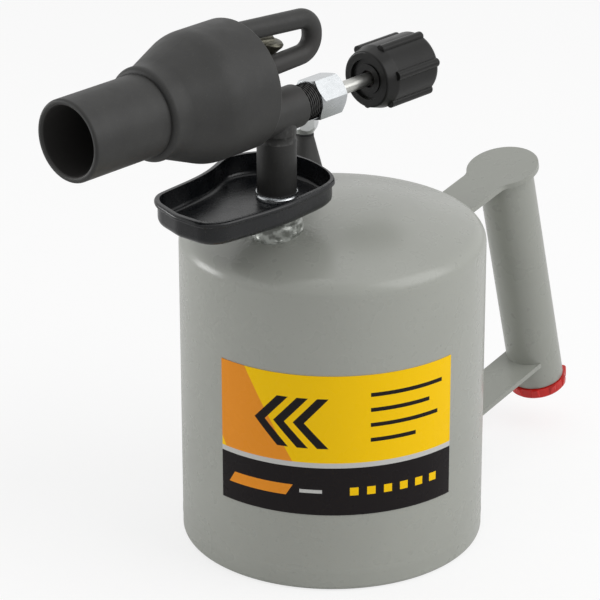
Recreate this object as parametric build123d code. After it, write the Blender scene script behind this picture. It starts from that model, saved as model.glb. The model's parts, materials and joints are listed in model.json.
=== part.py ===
from build123d import *
import os
from math import atan2, cos, pi, radians, sin, sqrt, tan

# Petrol blow lamp, in millimetres, +Z up
# The origin is on the standing plane at the tank's axis
# The flame tube points along -X and the pump handle stands on the +X side

os.makedirs("parts", exist_ok=True)

# Overrun of every cut, and the clearances of the moving fits
overrun = 2.0
running_clearance = 0.05
piston_clearance = 0.4
full_turn = 360.0
resting_gap = 0.3

# Tank: a drawn steel shell on a dished bottom pan
tank_radius = 57.5
tank_wall = 1.0
shoulder_height = 117.6
knuckle_radius = 6.7
crown_radius = 159.0
seam_height = 9.0
seam_bead_height = 3.2
seam_bead_proud = 0.4
foot_corner_radius = 5.0
foot_width = 4.0
dish_rise = 6.0

# Label on the tank's front left
label_thickness = 0.2
label_glue = 0.05
label_bottom = 31.5
label_height = 56.0
label_centre_angle = -135.4
label_arc = 93.4

# Riser with its boss and the fuel pick-up
riser_inset = 27.5
riser_radius = 7.3
riser_bore = 2.4
riser_spigot_radius = 5.5
riser_spigot_depth = 8.0
boss_flange_radius = 9.6
boss_flange_height = 5.6
boss_flange_round = 2.4
boss_hub_radius = 8.6
weld_neck_waist = 0.4
weld_neck_height = 3.0
weld_neck_drop = 10.6
pickup_radius = 3.0
pickup_bore = 2.0
pickup_end_height = 20.0
strainer_radius = 4.4
strainer_wall = 0.6
strainer_height = 11.0
strainer_slots = 8
strainer_slot_width = 1.2

# Preheating tray under the burner, with its rim's height over the crown at the riser
tray_rim_rise = 22.4
tray_depth = 8.6
tray_wall = 0.8
tray_wide_radius = 22.6
tray_wide_offset = 1.7
tray_nose_reach = 51.2
tray_nose_radius = 10.0
tray_nose_half_width = 18.1
tray_nose_bulge = 1.2
tray_bottom_round = 3.0
tray_rim_roll = 1.3
tray_rim_roll_height = 2.0
tray_rim_round = 0.9
tray_nut_radius = 7.7
tray_nut_thickness = 1.8
tray_nut_groove = 0.5

# Valve body, its spindle, gland and knob, all on one axis and measured from the riser's axis
valve_rise = 45.75
valve_radius = 8.0
valve_front = -27.0
valve_back = 10.0
valve_back_round = 0.8
valve_chamber_front = -6.0
valve_neck_radius = 6.7
valve_neck_length = 16.0
valve_seat_radius = 1.1
gas_way_radius = 1.6
needle_length = 3.6
packing_radius = 4.3
packing_length = 7.0
gland_length = 12.9
gland_gap = 6.8
gland_wall = 3.0
gland_across_flats = 14.5
gland_turn = 19.1
gland_corner_chamfer = 0.7
spindle_radius = 2.5
spindle_thread_radius = 3.1
spindle_thread_length = 13.0
spindle_thread_gap = 3.0
stem_washer_radius = 3.2
stem_washer_thickness = 1.2
stem_length = 18.6
knob_length = 28.1
knob_front_radius = 10.65
knob_body_radius = 12.1
knob_taper_length = 5.0
knob_taper_round = 2.5
knob_front_round = 0.8
knob_back_round = 2.6
knob_recess_radius = 7.7
knob_recess_depth = 9.0
knob_hub_radius = 5.7
knob_hub_setback = 0.8
knob_socket_depth = 2.6
knob_ribs = 6
knob_rib_turn = 16.0
knob_rib_radius = 1.75
knob_rib_proud = 1.4
knob_rib_setback = 4.2
knob_rib_back_gap = 0.9
knob_rib_end_share = 0.7
knob_stem_depth = 17.8
knob_web = 4.0
knob_back_recess_radius = 4.6
screw_shank_radius = 1.5
screw_shank_length = 12.0
screw_head_radius = 3.4
screw_head_height = 2.2
screw_head_round = 0.7
screw_slot_width = 0.9
screw_slot_depth = 1.0

# Burner: housing, flame tube, mixing tube, jet and vaporizer, measured from the riser's axis
burner_rise = 16.6
housing_back_reach = 21.8
housing_barrel_length = 21.4
housing_cone_length = 18.3
housing_collar_length = 6.0
housing_collar_radius = 17.1
housing_collar_round = 2.1
housing_waist_round = 12.0
housing_shoulder_round = 18.0
housing_radius = 24.0
housing_wall = 1.5
housing_back_round = 1.0
flame_tube_radius = 14.8
flame_tube_wall = 2.25
flame_tube_length = 41.0
flame_tube_insert = 6.0
flame_tube_lip_round = 1.0
burner_head_thickness = 3.0
burner_head_hole_radius = 1.6
burner_head_holes = 8
mixing_tube_radius = 6.4
mixing_tube_wall = 0.9
mixing_bell_radius = 9.6
mixing_bell_reach = 30.5
mixing_bell_length = 9.0
mixing_bell_round = 13.5
vapour_ring_reach = 34.0
vapour_ring_section = 4.3
vapour_stop_angle = 75.0
vapour_stop_arc = 16.0
vapour_tube_radius = 3.7
vapour_tube_bore = 2.4
loop_reference_reach = 10.0
loop_upper_rise = 17.5
loop_upper_fall = 2.9
loop_lower_rise = 1.3
loop_lower_climb = 4.2
loop_yaw = 4.1
loop_bend_radius = 6.5
loop_length = 26.7
loop_upper_end = 23.0
loop_lower_end = 13.0
jet_block_radius = 5.4
jet_block_reach = 23.0
jet_block_length = 4.0
jet_block_round = 0.8
jet_across_flats = 7.0
jet_hex_height = 2.2
jet_hex_chamfer = 0.4
jet_cone_length = 3.4
jet_cone_radius = 2.6
jet_tip_radius = 1.0
jet_hole_radius = 0.4
cleaner_neck_radius = 2.0
cleaner_head_radius = 3.2
cleaner_head_length = 8.0
cleaner_head_round = 2.2
cleaner_flare_round = 16.0
cleaner_end_back = 8.0
cleaner_end_side = 5.0
cleaner_end_rise = 6.2
cleaner_foot_side = 10.5

# Filler neck with its gasket and plug
filler_reach = 15.1
filler_side = 28.4
filler_foot_radius = 8.3
filler_top_radius = 3.7
filler_neck_rise = 18.6
filler_bore = 2.6
filler_gasket_thickness = 0.9
filler_gasket_radius = 3.6
plug_cone_height = 3.0
plug_across_flats = 9.6
plug_hex_height = 6.6
plug_hex_chamfer = 0.5
plug_turn = 26.0
plug_stem_length = 8.0

# Handle: a leaning pump barrel between two sheet brackets
handle_top_gap = 42.5
handle_top_rise = 1.9
handle_lean = 13.9
handle_length = 101.3
handle_radius = 10.9
handle_wall = 1.2
bracket_thickness = 2.0
top_bracket_disc_radius = 14.3
top_bracket_disc_offset = 1.0
top_bracket_half_width = 9.35
top_bracket_blend = 5.0
lower_bracket_half_width = 9.1
lower_bracket_gap = 10.0
air_tube_radius = 2.5
air_tube_bore = 1.3

# Pump inside the handle
check_body_length = 12.0
check_chamber_radius = 3.1
check_port_radius = 1.4
check_ball_radius = 2.3
check_ball_lift = 1.5
check_side_way_radius = 0.9
guide_length = 8.0
rod_radius = 3.0
piston_station = 21.0
piston_thickness = 3.0
cup_thickness = 1.2
cup_skirt = 5.0
piston_nut_across_flats = 9.0
piston_nut_height = 3.0
piston_nut_chamfer = 0.4
rod_top_gap = 1.2
rod_knob_depth = 2.9
pump_knob_thickness = 4.4
pump_knob_radius = 11.6
pump_knob_taper = 0.7
pump_knob_lobes = 10
pump_knob_lobe_radius = 1.7
pump_knob_lobe_proud = 0.9
pump_knob_round = 0.8

# Places that follow from the sizes above
crown_centre_height = shoulder_height - sqrt(
    (crown_radius - knuckle_radius) ** 2 - (tank_radius - knuckle_radius) ** 2
)
riser_reach = tank_radius - riser_inset
riser_seat = crown_centre_height + sqrt(crown_radius**2 - riser_reach**2)
tray_rim_height = riser_seat + tray_rim_rise
tray_floor_top = tray_rim_height - tray_depth
tray_underside = tray_floor_top - tray_wall
riser_bottom = tray_floor_top + tray_nut_thickness
boss_bore_floor = riser_bottom - riser_spigot_depth - tray_nut_thickness
valve_height = riser_seat + valve_rise
weld_neck_bottom = valve_height - weld_neck_drop

gland_front = valve_back + gland_gap
gland_back = gland_front + gland_length
valve_neck_back = valve_back + valve_neck_length
packing_front = gland_back - gland_wall - packing_length
knob_front = gland_back + stem_length
knob_back = knob_front + knob_length
spindle_back = knob_front + knob_stem_depth
knob_web_back = spindle_back + knob_web
washer_back = knob_front + knob_hub_setback + knob_socket_depth
valve_bore = spindle_thread_radius + running_clearance
stem_bore = spindle_radius + running_clearance

burner_height = valve_height + burner_rise
housing_shoulder_reach = housing_back_reach + housing_barrel_length
housing_collar_back = housing_shoulder_reach + housing_cone_length
housing_front_reach = housing_collar_back + housing_collar_length
flame_tube_bore = flame_tube_radius - flame_tube_wall
flame_tube_back_reach = housing_front_reach - flame_tube_insert
mouth_reach = flame_tube_back_reach + flame_tube_length
burner_head_front_reach = flame_tube_back_reach + burner_head_thickness
jet_seat_reach = jet_block_reach + jet_block_length

filler_seat = crown_centre_height + sqrt(crown_radius**2 - filler_reach**2 - filler_side**2)
filler_top_height = filler_seat + filler_neck_rise

tube_bore = handle_radius - handle_wall
piston_radius = tube_bore - piston_clearance
lower_bracket_station = handle_length - lower_bracket_gap - bracket_thickness
bracket_reach = tank_radius + handle_top_gap

riser_frame = Plane(origin=(-riser_reach, 0, 0))
filler_frame = Plane(origin=(filler_reach, filler_side, 0))
valve_frame = Plane(origin=(-riser_reach, 0, valve_height), x_dir=(0, 0, 1), z_dir=(1, 0, 0))
burner_frame = Plane(origin=(-riser_reach, 0, burner_height), x_dir=(0, 0, 1), z_dir=(1, 0, 0))
lean = radians(handle_lean)
handle_frame = Plane(
    origin=(tank_radius + handle_top_gap, 0, shoulder_height + handle_top_rise),
    x_dir=(cos(lean), 0, sin(lean)),
    z_dir=(sin(lean), 0, -cos(lean)),
)


def upright(radius, start, end):
    """A round bar on the local Z axis between two heights."""
    bar = Cylinder(radius, end - start, align=(Align.CENTER, Align.CENTER, Align.MIN))
    return Pos(0, 0, start) * bar


def sleeve(outer, inner, start, end):
    """A plain ring on the local Z axis between two heights."""
    return upright(outer, start, end) - upright(inner, start, end)


def turned(*curves):
    """A round part, turned from an outline of (radius, height) curves."""
    outline = Curve() + list(curves)
    return revolve(Plane.XZ * make_face(outline), Axis.Z)


def turned_corners(*corners):
    """A round part, turned from straight runs between (radius, height) corners."""
    return turned(Polyline(*corners, close=True))


def hex_bar(across_flats, start, end, turn=0.0):
    """A six-sided bar on the local Z axis, turned about it."""
    corner_radius = across_flats / sqrt(3)
    section = Plane.XY.offset(start) * RegularPolygon(corner_radius, 6, rotation=turn)
    return extrude(section, end - start)


def chamfered_hex(across_flats, start, end, chamfer_size, turn=0.0):
    """A six-sided bar whose corners are turned down at both ends, as on a nut."""
    corner_radius = across_flats / sqrt(3)
    flat_radius = across_flats / 2
    blank = turned_corners(
        (0, start),
        (flat_radius, start),
        (corner_radius, start + chamfer_size),
        (corner_radius, end - chamfer_size),
        (flat_radius, end),
        (0, end),
    )
    return hex_bar(across_flats, start, end, turn) & blank


def shell_arcs(inset):
    """Crown and knuckle arcs of the tank, set in from its outer skin."""
    sweep_angle = atan2(tank_radius - knuckle_radius, shoulder_height - crown_centre_height)
    crown = crown_radius - inset
    knuckle = knuckle_radius - inset
    knuckle_centre = tank_radius - knuckle_radius
    half = sweep_angle / 2
    between = (sweep_angle + pi / 2) / 2
    top = (0, crown_centre_height + crown)
    mid = (crown * sin(half), crown_centre_height + crown * cos(half))
    join = (crown * sin(sweep_angle), crown_centre_height + crown * cos(sweep_angle))
    knuckle_mid = (knuckle_centre + knuckle * sin(between), shoulder_height + knuckle * cos(between))
    shoulder = (knuckle_centre + knuckle, shoulder_height)
    return ThreePointArc(top, mid, join), ThreePointArc(join, knuckle_mid, shoulder), top, shoulder


def air_tube_station():
    """Distance of the air tube's axis below the top bracket's upper face."""
    return bracket_thickness + air_tube_radius + resting_gap


def on_handle(along, drop):
    """A frame on the handle's axis that points at the tank."""
    start = handle_frame.from_local_coords(Vector(along, 0, drop))
    return Plane(origin=start, x_dir=(0, 1, 0), z_dir=-handle_frame.x_dir)


def make_tank_shell():
    """Drawn shell: wall, knuckle and crown, with holes for what is brazed to it."""
    outer_crown, outer_knuckle, outer_top, outer_shoulder = shell_arcs(0)
    inner_crown, inner_knuckle, inner_top, inner_shoulder = shell_arcs(tank_wall)
    outer_foot = (tank_radius, seam_height)
    inner_foot = (tank_radius - tank_wall, seam_height)
    shell = turned(
        outer_crown,
        outer_knuckle,
        Line(outer_shoulder, outer_foot),
        Line(outer_foot, inner_foot),
        Line(inner_foot, inner_shoulder),
        inner_knuckle,
        inner_crown,
        Line(inner_top, outer_top),
    )
    top = crown_centre_height + crown_radius + overrun
    shell -= riser_frame * upright(pickup_radius, shoulder_height, top)
    shell -= filler_frame * upright(filler_bore, shoulder_height, top)
    shell -= on_handle(0, air_tube_station()) * upright(air_tube_bore, 0, bracket_reach)
    return shell


def dish_points(reach, lift):
    """Middle of the bottom's dish, a point half way out, and its foot, raised by a lift."""
    radius = (reach**2 + dish_rise**2) / (2 * dish_rise)
    half_drop = radius - sqrt(radius**2 - (reach / 2) ** 2)
    return (0, dish_rise + lift), (reach / 2, dish_rise + lift - half_drop), (reach, lift)


def make_tank_bottom():
    """Dished pan with the ring it stands on and the bead of its seam."""
    ring_inner = tank_radius - foot_corner_radius - foot_width
    inner_wall = tank_radius - tank_wall
    bead_foot = seam_height - seam_bead_height
    under_middle, under_half, under_foot = dish_points(ring_inner, 0)
    top_middle, top_half, top_foot = dish_points(ring_inner, tank_wall)
    return turned(
        ThreePointArc(under_middle, under_half, under_foot),
        FilletPolyline(
            under_foot, (tank_radius, 0), (tank_radius, bead_foot), radius=foot_corner_radius
        ),
        ThreePointArc(
            (tank_radius, bead_foot),
            (tank_radius + seam_bead_proud, bead_foot + seam_bead_height / 2),
            (tank_radius, seam_height),
        ),
        Line((tank_radius, seam_height), (inner_wall, seam_height)),
        FilletPolyline(
            (inner_wall, seam_height),
            (inner_wall, tank_wall),
            top_foot,
            radius=foot_corner_radius - tank_wall,
        ),
        ThreePointArc(top_foot, top_half, top_middle),
        Line(top_middle, under_middle),
    )


def make_label():
    """Printed sheet that lies on the wall."""
    section = Pos(tank_radius + label_glue, label_bottom) * Rectangle(
        label_thickness, label_height, align=(Align.MIN, Align.MIN)
    )
    start = label_centre_angle - label_arc / 2
    return Rot(0, 0, start) * revolve(Plane.XZ * section, Axis.Z, revolution_arc=label_arc)


def tank_form():
    """The solid inside the tank's outer skin, for seating what is joined to it."""
    crown, knuckle, top, shoulder = shell_arcs(0)
    return turned(crown, knuckle, Polyline(shoulder, (tank_radius, 0), (0, 0), top))


def make_riser_boss():
    """Flanged steel boss on the crown that carries the tray and the riser."""
    foot = shoulder_height
    flange_top = riser_seat + boss_flange_height
    flange = fillet(
        upright(boss_flange_radius, foot, flange_top).edges().group_by(Axis.Z)[-1],
        boss_flange_round,
    )
    boss = flange + upright(boss_hub_radius, foot, tray_underside)
    boss -= upright(riser_spigot_radius, boss_bore_floor, tray_underside + overrun)
    boss -= upright(pickup_radius, foot - overrun, boss_bore_floor)
    return riser_frame * boss - tank_form()


def make_riser_tube():
    """Riser from the boss up to the brazed neck."""
    tube = upright(riser_radius, riser_bottom, weld_neck_bottom)
    tube += upright(riser_spigot_radius, boss_bore_floor, riser_bottom)
    return riser_frame * (tube - upright(riser_bore, boss_bore_floor - overrun, valve_height))


def make_riser_weld():
    """Rough brazed neck between the riser and the valve body."""
    waist_height = weld_neck_bottom + weld_neck_height / 2
    shoulder_top = weld_neck_bottom + weld_neck_height
    neck = turned(
        Line((riser_bore, weld_neck_bottom), (riser_radius, weld_neck_bottom)),
        ThreePointArc(
            (riser_radius, weld_neck_bottom),
            (riser_radius - weld_neck_waist, waist_height),
            (riser_radius, shoulder_top),
        ),
        Line((riser_radius, shoulder_top), (riser_radius, valve_height)),
        Line((riser_radius, valve_height), (riser_bore, valve_height)),
        Line((riser_bore, valve_height), (riser_bore, weld_neck_bottom)),
    )
    return riser_frame * neck - valve_frame * upright(valve_radius, valve_front, valve_back)


def make_pickup_tube():
    """Fuel pipe from the boss down to the strainer."""
    return riser_frame * sleeve(pickup_radius, pickup_bore, pickup_end_height, boss_bore_floor)


def make_pickup_strainer():
    """Slotted brass cup round the pipe's lower end."""
    inner = strainer_radius - strainer_wall
    top = pickup_end_height + strainer_wall
    bottom = top - strainer_height
    cup = upright(strainer_radius, bottom, top) - upright(inner, bottom + strainer_wall, pickup_end_height)
    cup -= upright(pickup_bore, pickup_end_height - overrun, top + overrun)
    slot_height = strainer_height - strainer_radius
    slot = Pos(strainer_radius, 0, (bottom + pickup_end_height) / 2) * Box(
        strainer_radius, strainer_slot_width, slot_height
    )
    for slot_place in PolarLocations(0, strainer_slots):
        cup -= slot_place * slot
    return riser_frame * (cup - upright(pickup_radius, pickup_end_height, top + overrun))


def tray_outline(growth):
    """Teardrop plan of the tray, grown or shrunk by a distance."""
    nose = tray_nose_radius + growth
    nose_x = tray_nose_radius - riser_reach - tray_nose_reach
    nose_y = tray_nose_half_width - tray_nose_radius
    rounds = [Pos(-riser_reach - tray_wide_offset, 0) * Circle(tray_wide_radius + growth)]
    rounds.append(Pos(nose_x, 0) * Circle(nose))
    for side in (-1, 1):
        rounds.append(Pos(nose_x + tray_nose_bulge, side * nose_y) * Circle(nose))
    return make_hull([edge for circle in rounds for edge in circle.edges()])


def make_preheat_tray():
    """Pressed and enamelled dish with a rolled rim."""
    floor = Plane.XY.offset(tray_underside)
    dish = extrude(floor * tray_outline(0), tray_rim_height - tray_underside)
    dish = fillet(dish.edges().group_by(Axis.Z)[0], tray_bottom_round)
    rim_plane = Plane.XY.offset(tray_rim_height - tray_rim_roll_height)
    roll = extrude(rim_plane * tray_outline(tray_rim_roll), tray_rim_roll_height)
    roll_edges = roll.edges().group_by(Axis.Z)
    roll = fillet(roll_edges[0] + roll_edges[-1], tray_rim_round)
    hollow = extrude(
        Plane.XY.offset(tray_floor_top) * tray_outline(-tray_wall), tray_depth + overrun
    )
    hollow = fillet(hollow.edges().group_by(Axis.Z)[0], tray_bottom_round - tray_wall)
    dish = dish + roll - hollow
    return dish - riser_frame * upright(riser_spigot_radius, tray_underside - overrun, tray_rim_height)


def make_tray_nut():
    """Zinc ring with a groove round it, which clamps the tray under the riser."""
    groove_height = tray_floor_top + tray_nut_thickness / 2
    groove_radius = tray_nut_radius - tray_nut_groove
    ring = turned_corners(
        (riser_spigot_radius, tray_floor_top),
        (tray_nut_radius, tray_floor_top),
        (tray_nut_radius, groove_height - tray_nut_groove),
        (groove_radius, groove_height),
        (tray_nut_radius, groove_height + tray_nut_groove),
        (tray_nut_radius, riser_bottom),
        (riser_spigot_radius, riser_bottom),
    )
    return riser_frame * ring


def make_valve_body():
    """Round valve body with its threaded neck, seat and gas way."""
    body = turned(
        FilletPolyline(
            (0, valve_front),
            (valve_radius, valve_front),
            (valve_radius, valve_back),
            (valve_neck_radius, valve_back),
            radius=valve_back_round,
        ),
        Polyline(
            (valve_neck_radius, valve_back),
            (valve_neck_radius, valve_neck_back),
            (0, valve_neck_back),
            (0, valve_front),
        ),
    )
    body -= upright(valve_bore, valve_chamber_front, packing_front)
    body -= upright(packing_radius, packing_front, valve_neck_back + overrun)
    body -= turned_corners(
        (0, valve_chamber_front - needle_length),
        (valve_seat_radius, valve_chamber_front - needle_length),
        (spindle_radius + running_clearance, valve_chamber_front),
        (0, valve_chamber_front),
    )
    body -= upright(gas_way_radius, valve_front - overrun, valve_chamber_front - needle_length)
    body -= Plane(origin=(0, 0, 0), z_dir=(-1, 0, 0)) * upright(
        riser_bore, 0, valve_radius + overrun
    )
    return valve_frame * body


def make_gland_packing():
    """Graphite cord ring, pressed round the spindle."""
    end = gland_back - gland_wall
    return valve_frame * sleeve(packing_radius, stem_bore, packing_front, end)


def make_gland_nut():
    """Hexagon union nut over the valve body's neck."""
    nut = chamfered_hex(gland_across_flats, gland_front, gland_back, gland_corner_chamfer, gland_turn)
    nut -= upright(valve_neck_radius, gland_front - overrun, gland_back - gland_wall)
    nut -= upright(stem_bore, gland_front, gland_back + overrun)
    return valve_frame * nut


def make_valve_spindle():
    """Needle, thread and stem in one turned piece."""
    needle_start = valve_chamber_front - needle_length + running_clearance
    thread_back = packing_front - spindle_thread_gap
    thread_front = thread_back - spindle_thread_length
    run_out = spindle_thread_radius - spindle_radius
    spindle = turned_corners(
        (0, needle_start),
        (valve_seat_radius, needle_start),
        (spindle_radius, valve_chamber_front + running_clearance),
        (spindle_radius, thread_front - run_out),
        (spindle_thread_radius, thread_front),
        (spindle_thread_radius, thread_back),
        (spindle_radius, thread_back + run_out),
        (spindle_radius, spindle_back),
        (0, spindle_back),
    )
    bore_start = spindle_back - screw_shank_length
    spindle -= upright(screw_shank_radius + running_clearance, bore_start, spindle_back + overrun)
    return valve_frame * spindle


def make_stem_washer():
    """Fibre washer that rides on the stem at the floor of the knob's socket."""
    front = washer_back - stem_washer_thickness
    return valve_frame * sleeve(stem_washer_radius, stem_bore, front, washer_back)


def knob_rib():
    """One round rib with a flat front end, lying beside the local Z axis."""
    start = knob_front + knob_rib_setback
    rib = upright(knob_rib_radius, start, knob_back - knob_rib_back_gap)
    rib = fillet(rib.edges().group_by(Axis.Z)[-1], knob_rib_radius * knob_rib_end_share)
    return Pos(knob_body_radius + knob_rib_proud - knob_rib_radius, 0, 0) * rib


def make_valve_knob():
    """Moulded knob: six ribs, an open front recess and a hub for the stem."""
    body = turned(
        FilletPolyline(
            (0, knob_front),
            (knob_front_radius, knob_front),
            (knob_body_radius, knob_front + knob_taper_length),
            (knob_body_radius, knob_back),
            (0, knob_back),
            radius=[knob_front_round, knob_taper_round, knob_back_round],
        ),
        Line((0, knob_back), (0, knob_front)),
    )
    for rib_place in PolarLocations(0, knob_ribs, start_angle=knob_rib_turn):
        body += rib_place * knob_rib()
    hub_front = knob_front + knob_hub_setback
    recess_floor = knob_front + knob_recess_depth
    body -= upright(knob_recess_radius, knob_front - overrun, recess_floor)
    body += upright(knob_hub_radius, hub_front, recess_floor + overrun)
    body -= upright(stem_washer_radius + 2 * running_clearance, knob_front, washer_back)
    body -= upright(stem_bore, knob_front, spindle_back + resting_gap)
    body -= upright(screw_shank_radius + running_clearance, spindle_back, knob_back)
    body -= upright(knob_back_recess_radius, knob_web_back, knob_back + overrun)
    return valve_frame * body


def make_knob_screw():
    """Slotted screw that holds the knob on the stem."""
    head_top = knob_web_back + screw_head_height
    head = upright(screw_head_radius, knob_web_back, head_top)
    head = fillet(head.edges().group_by(Axis.Z)[-1], screw_head_round)
    slot = Pos(0, 0, head_top) * Box(2 * screw_head_radius, screw_slot_width, 2 * screw_slot_depth)
    shank_end = spindle_back - screw_shank_length + resting_gap
    return valve_frame * (head - slot + upright(screw_shank_radius, shank_end, knob_web_back))


def make_flame_tube():
    """Steel flame tube with a rounded lip at its mouth."""
    tube = sleeve(flame_tube_radius, flame_tube_bore, -mouth_reach, -flame_tube_back_reach)
    lip = tube.edges().group_by(Axis.Z)[0]
    return burner_frame * fillet(lip, flame_tube_lip_round)


def make_flame_housing():
    """Cast bell behind the flame tube: collar, cone, round shoulder and open back."""
    inner = housing_radius - housing_wall
    cone_inner = housing_collar_radius - housing_wall
    outer_line = FilletPolyline(
        (flame_tube_radius, -housing_front_reach),
        (housing_collar_radius, -housing_front_reach),
        (housing_collar_radius, -housing_collar_back),
        (housing_radius, -housing_shoulder_reach),
        (housing_radius, -housing_back_reach),
        (inner, -housing_back_reach),
        radius=[
            housing_collar_round,
            housing_waist_round,
            housing_shoulder_round,
            housing_back_round,
        ],
    )
    inner_line = Polyline(
        (inner, -housing_back_reach),
        (inner, -housing_shoulder_reach),
        (cone_inner, -flame_tube_back_reach),
        (flame_tube_radius, -flame_tube_back_reach),
        (flame_tube_radius, -housing_front_reach),
    )
    bell = burner_frame * turned(outer_line, inner_line)
    return bell - valve_frame * upright(valve_radius, valve_front, valve_back)


def make_burner_head():
    """Flame-holding disc round the mixing tube, with a ring of air holes."""
    front = -burner_head_front_reach
    back = -flame_tube_back_reach
    disc = sleeve(flame_tube_bore, mixing_tube_radius, front, back)
    hole_ring = (flame_tube_bore + mixing_tube_radius) / 2
    hole = upright(burner_head_hole_radius, front - overrun, back + overrun)
    for hole_place in PolarLocations(hole_ring, burner_head_holes):
        disc -= hole_place * hole
    return burner_frame * disc


def make_mixing_tube():
    """Straight mixing tube with a bell mouth round the jet."""
    front = -burner_head_front_reach
    neck = -(mixing_bell_reach + mixing_bell_length)
    mouth = -mixing_bell_reach
    wall = mixing_tube_wall
    neck_radius = mixing_tube_radius
    tube = turned(
        Line((neck_radius, front), (neck_radius, neck)),
        RadiusArc((neck_radius, neck), (mixing_bell_radius, mouth), -mixing_bell_round),
        Line((mixing_bell_radius, mouth), (mixing_bell_radius - wall, mouth)),
        RadiusArc((mixing_bell_radius - wall, mouth), (neck_radius - wall, neck), mixing_bell_round),
        Line((neck_radius - wall, neck), (neck_radius - wall, front)),
        Line((neck_radius - wall, front), (neck_radius, front)),
    )
    return burner_frame * tube


def loop_point(along, height):
    """A point of the loop's own upright plane, which is turned a little to the near side."""
    yaw = radians(loop_yaw)
    reference = -riser_reach - loop_reference_reach
    return (reference + along * cos(yaw), -along * sin(yaw), height)


def loop_path():
    """Centre line of the hairpin: upper leg, bend and lower leg."""
    fall = tan(radians(loop_upper_fall))
    climb = tan(radians(loop_lower_climb))
    upper = burner_height + loop_upper_rise
    lower = burner_height + loop_lower_rise
    return FilletPolyline(
        loop_point(-loop_upper_end, upper + fall * loop_upper_end),
        loop_point(loop_length, upper - fall * loop_length),
        loop_point(loop_length, lower + climb * loop_length),
        loop_point(-loop_lower_end, lower - climb * loop_lower_end),
        radius=loop_bend_radius,
    )


def tube_along(path, radius):
    """A round bar that follows a path."""
    return sweep(Plane(origin=path @ 0, z_dir=path % 0) * Circle(radius), path)


def make_vaporizer_tube():
    """Hairpin tube that leads the vapour out of the flame and back to the jet."""
    path = loop_path()
    return tube_along(path, vapour_tube_radius) - tube_along(path, vapour_tube_bore)


def vapour_ring(section, start, arc):
    """A ring or part of one about the burner's axis, swept from a section at its place."""
    placed = Plane.XZ * Pos(burner_rise, -vapour_ring_reach) * section
    return burner_frame * Rot(0, 0, start) * revolve(placed, Axis.Z, revolution_arc=arc)


def make_vaporizer_ring():
    """Hollow ring round the flame's root, from the valve body to the hairpin."""
    hollow = Circle(vapour_ring_section) - Circle(vapour_tube_bore)
    stopped = Circle(vapour_ring_section)
    turn = full_turn / 2 - vapour_stop_angle
    boss = valve_frame * upright(vapour_ring_section, -vapour_ring_reach, valve_front)
    ring = vapour_ring(hollow, turn, full_turn - vapour_stop_arc)
    ring += boss - vapour_ring(stopped, turn, full_turn - vapour_stop_arc)
    ring -= valve_frame * upright(gas_way_radius, -vapour_ring_reach, valve_front + overrun)
    ring -= tube_along(loop_path(), vapour_tube_radius)
    return ring + vapour_ring(stopped, turn - vapour_stop_arc, vapour_stop_arc)


def make_jet_block():
    """Round union at the lower leg's end, which points the jet along the burner."""
    block = upright(jet_block_radius, -jet_seat_reach, -jet_block_reach)
    block = fillet(block.edges().group_by(Axis.Z)[-1], jet_block_round)
    block -= upright(jet_tip_radius, -jet_seat_reach - overrun, -jet_block_reach - jet_block_round)
    return burner_frame * block - tube_along(loop_path(), vapour_tube_radius)


def make_jet_nozzle():
    """Brass jet: hexagon, cone and a fine hole."""
    seat = -jet_seat_reach
    hex_front = seat - jet_hex_height
    jet = chamfered_hex(jet_across_flats, hex_front, seat, jet_hex_chamfer)
    jet += turned_corners(
        (0, hex_front),
        (jet_cone_radius, hex_front),
        (jet_tip_radius, hex_front - jet_cone_length),
        (0, hex_front - jet_cone_length),
    )
    jet -= upright(jet_hole_radius, hex_front - jet_cone_length - overrun, seat + overrun)
    return burner_frame * jet


def make_cleaning_plug():
    """Plug with a flared round head that closes the ring's cleaning hole."""
    foot_height = burner_height + sqrt(burner_rise**2 - cleaner_foot_side**2)
    foot = Vector(-riser_reach - vapour_ring_reach, cleaner_foot_side, foot_height)
    end = Vector(-riser_reach + cleaner_end_back, cleaner_end_side, burner_height + cleaner_end_rise)
    run = end - foot
    length = run.length
    head_start = length - cleaner_head_length
    plug = turned(
        Line((0, 0), (cleaner_neck_radius, 0)),
        Line((cleaner_neck_radius, 0), (cleaner_neck_radius, head_start)),
        RadiusArc(
            (cleaner_neck_radius, head_start),
            (cleaner_head_radius, length - cleaner_head_round),
            -cleaner_flare_round,
        ),
        RadiusArc(
            (cleaner_head_radius, length - cleaner_head_round),
            (cleaner_head_radius - cleaner_head_round, length),
            -cleaner_head_round,
        ),
        Line((cleaner_head_radius - cleaner_head_round, length), (0, length)),
        Line((0, length), (0, 0)),
    )
    return Plane(origin=foot, z_dir=run) * plug - vapour_ring(
        Circle(vapour_ring_section), 0, full_turn
    )


def make_filler_neck():
    """Conical neck brazed on the crown."""
    foot = shoulder_height
    neck = turned_corners(
        (0, foot),
        (filler_foot_radius, foot),
        (filler_foot_radius, filler_seat),
        (filler_top_radius, filler_top_height - filler_gasket_thickness),
        (filler_top_radius, filler_top_height),
        (0, filler_top_height),
    )
    neck -= upright(filler_bore, foot - overrun, filler_top_height + overrun)
    return filler_frame * neck - tank_form()


def make_filler_gasket():
    """Rubber ring under the plug."""
    top = filler_top_height + filler_gasket_thickness
    return filler_frame * sleeve(filler_gasket_radius, filler_bore, filler_top_height, top)


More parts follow.
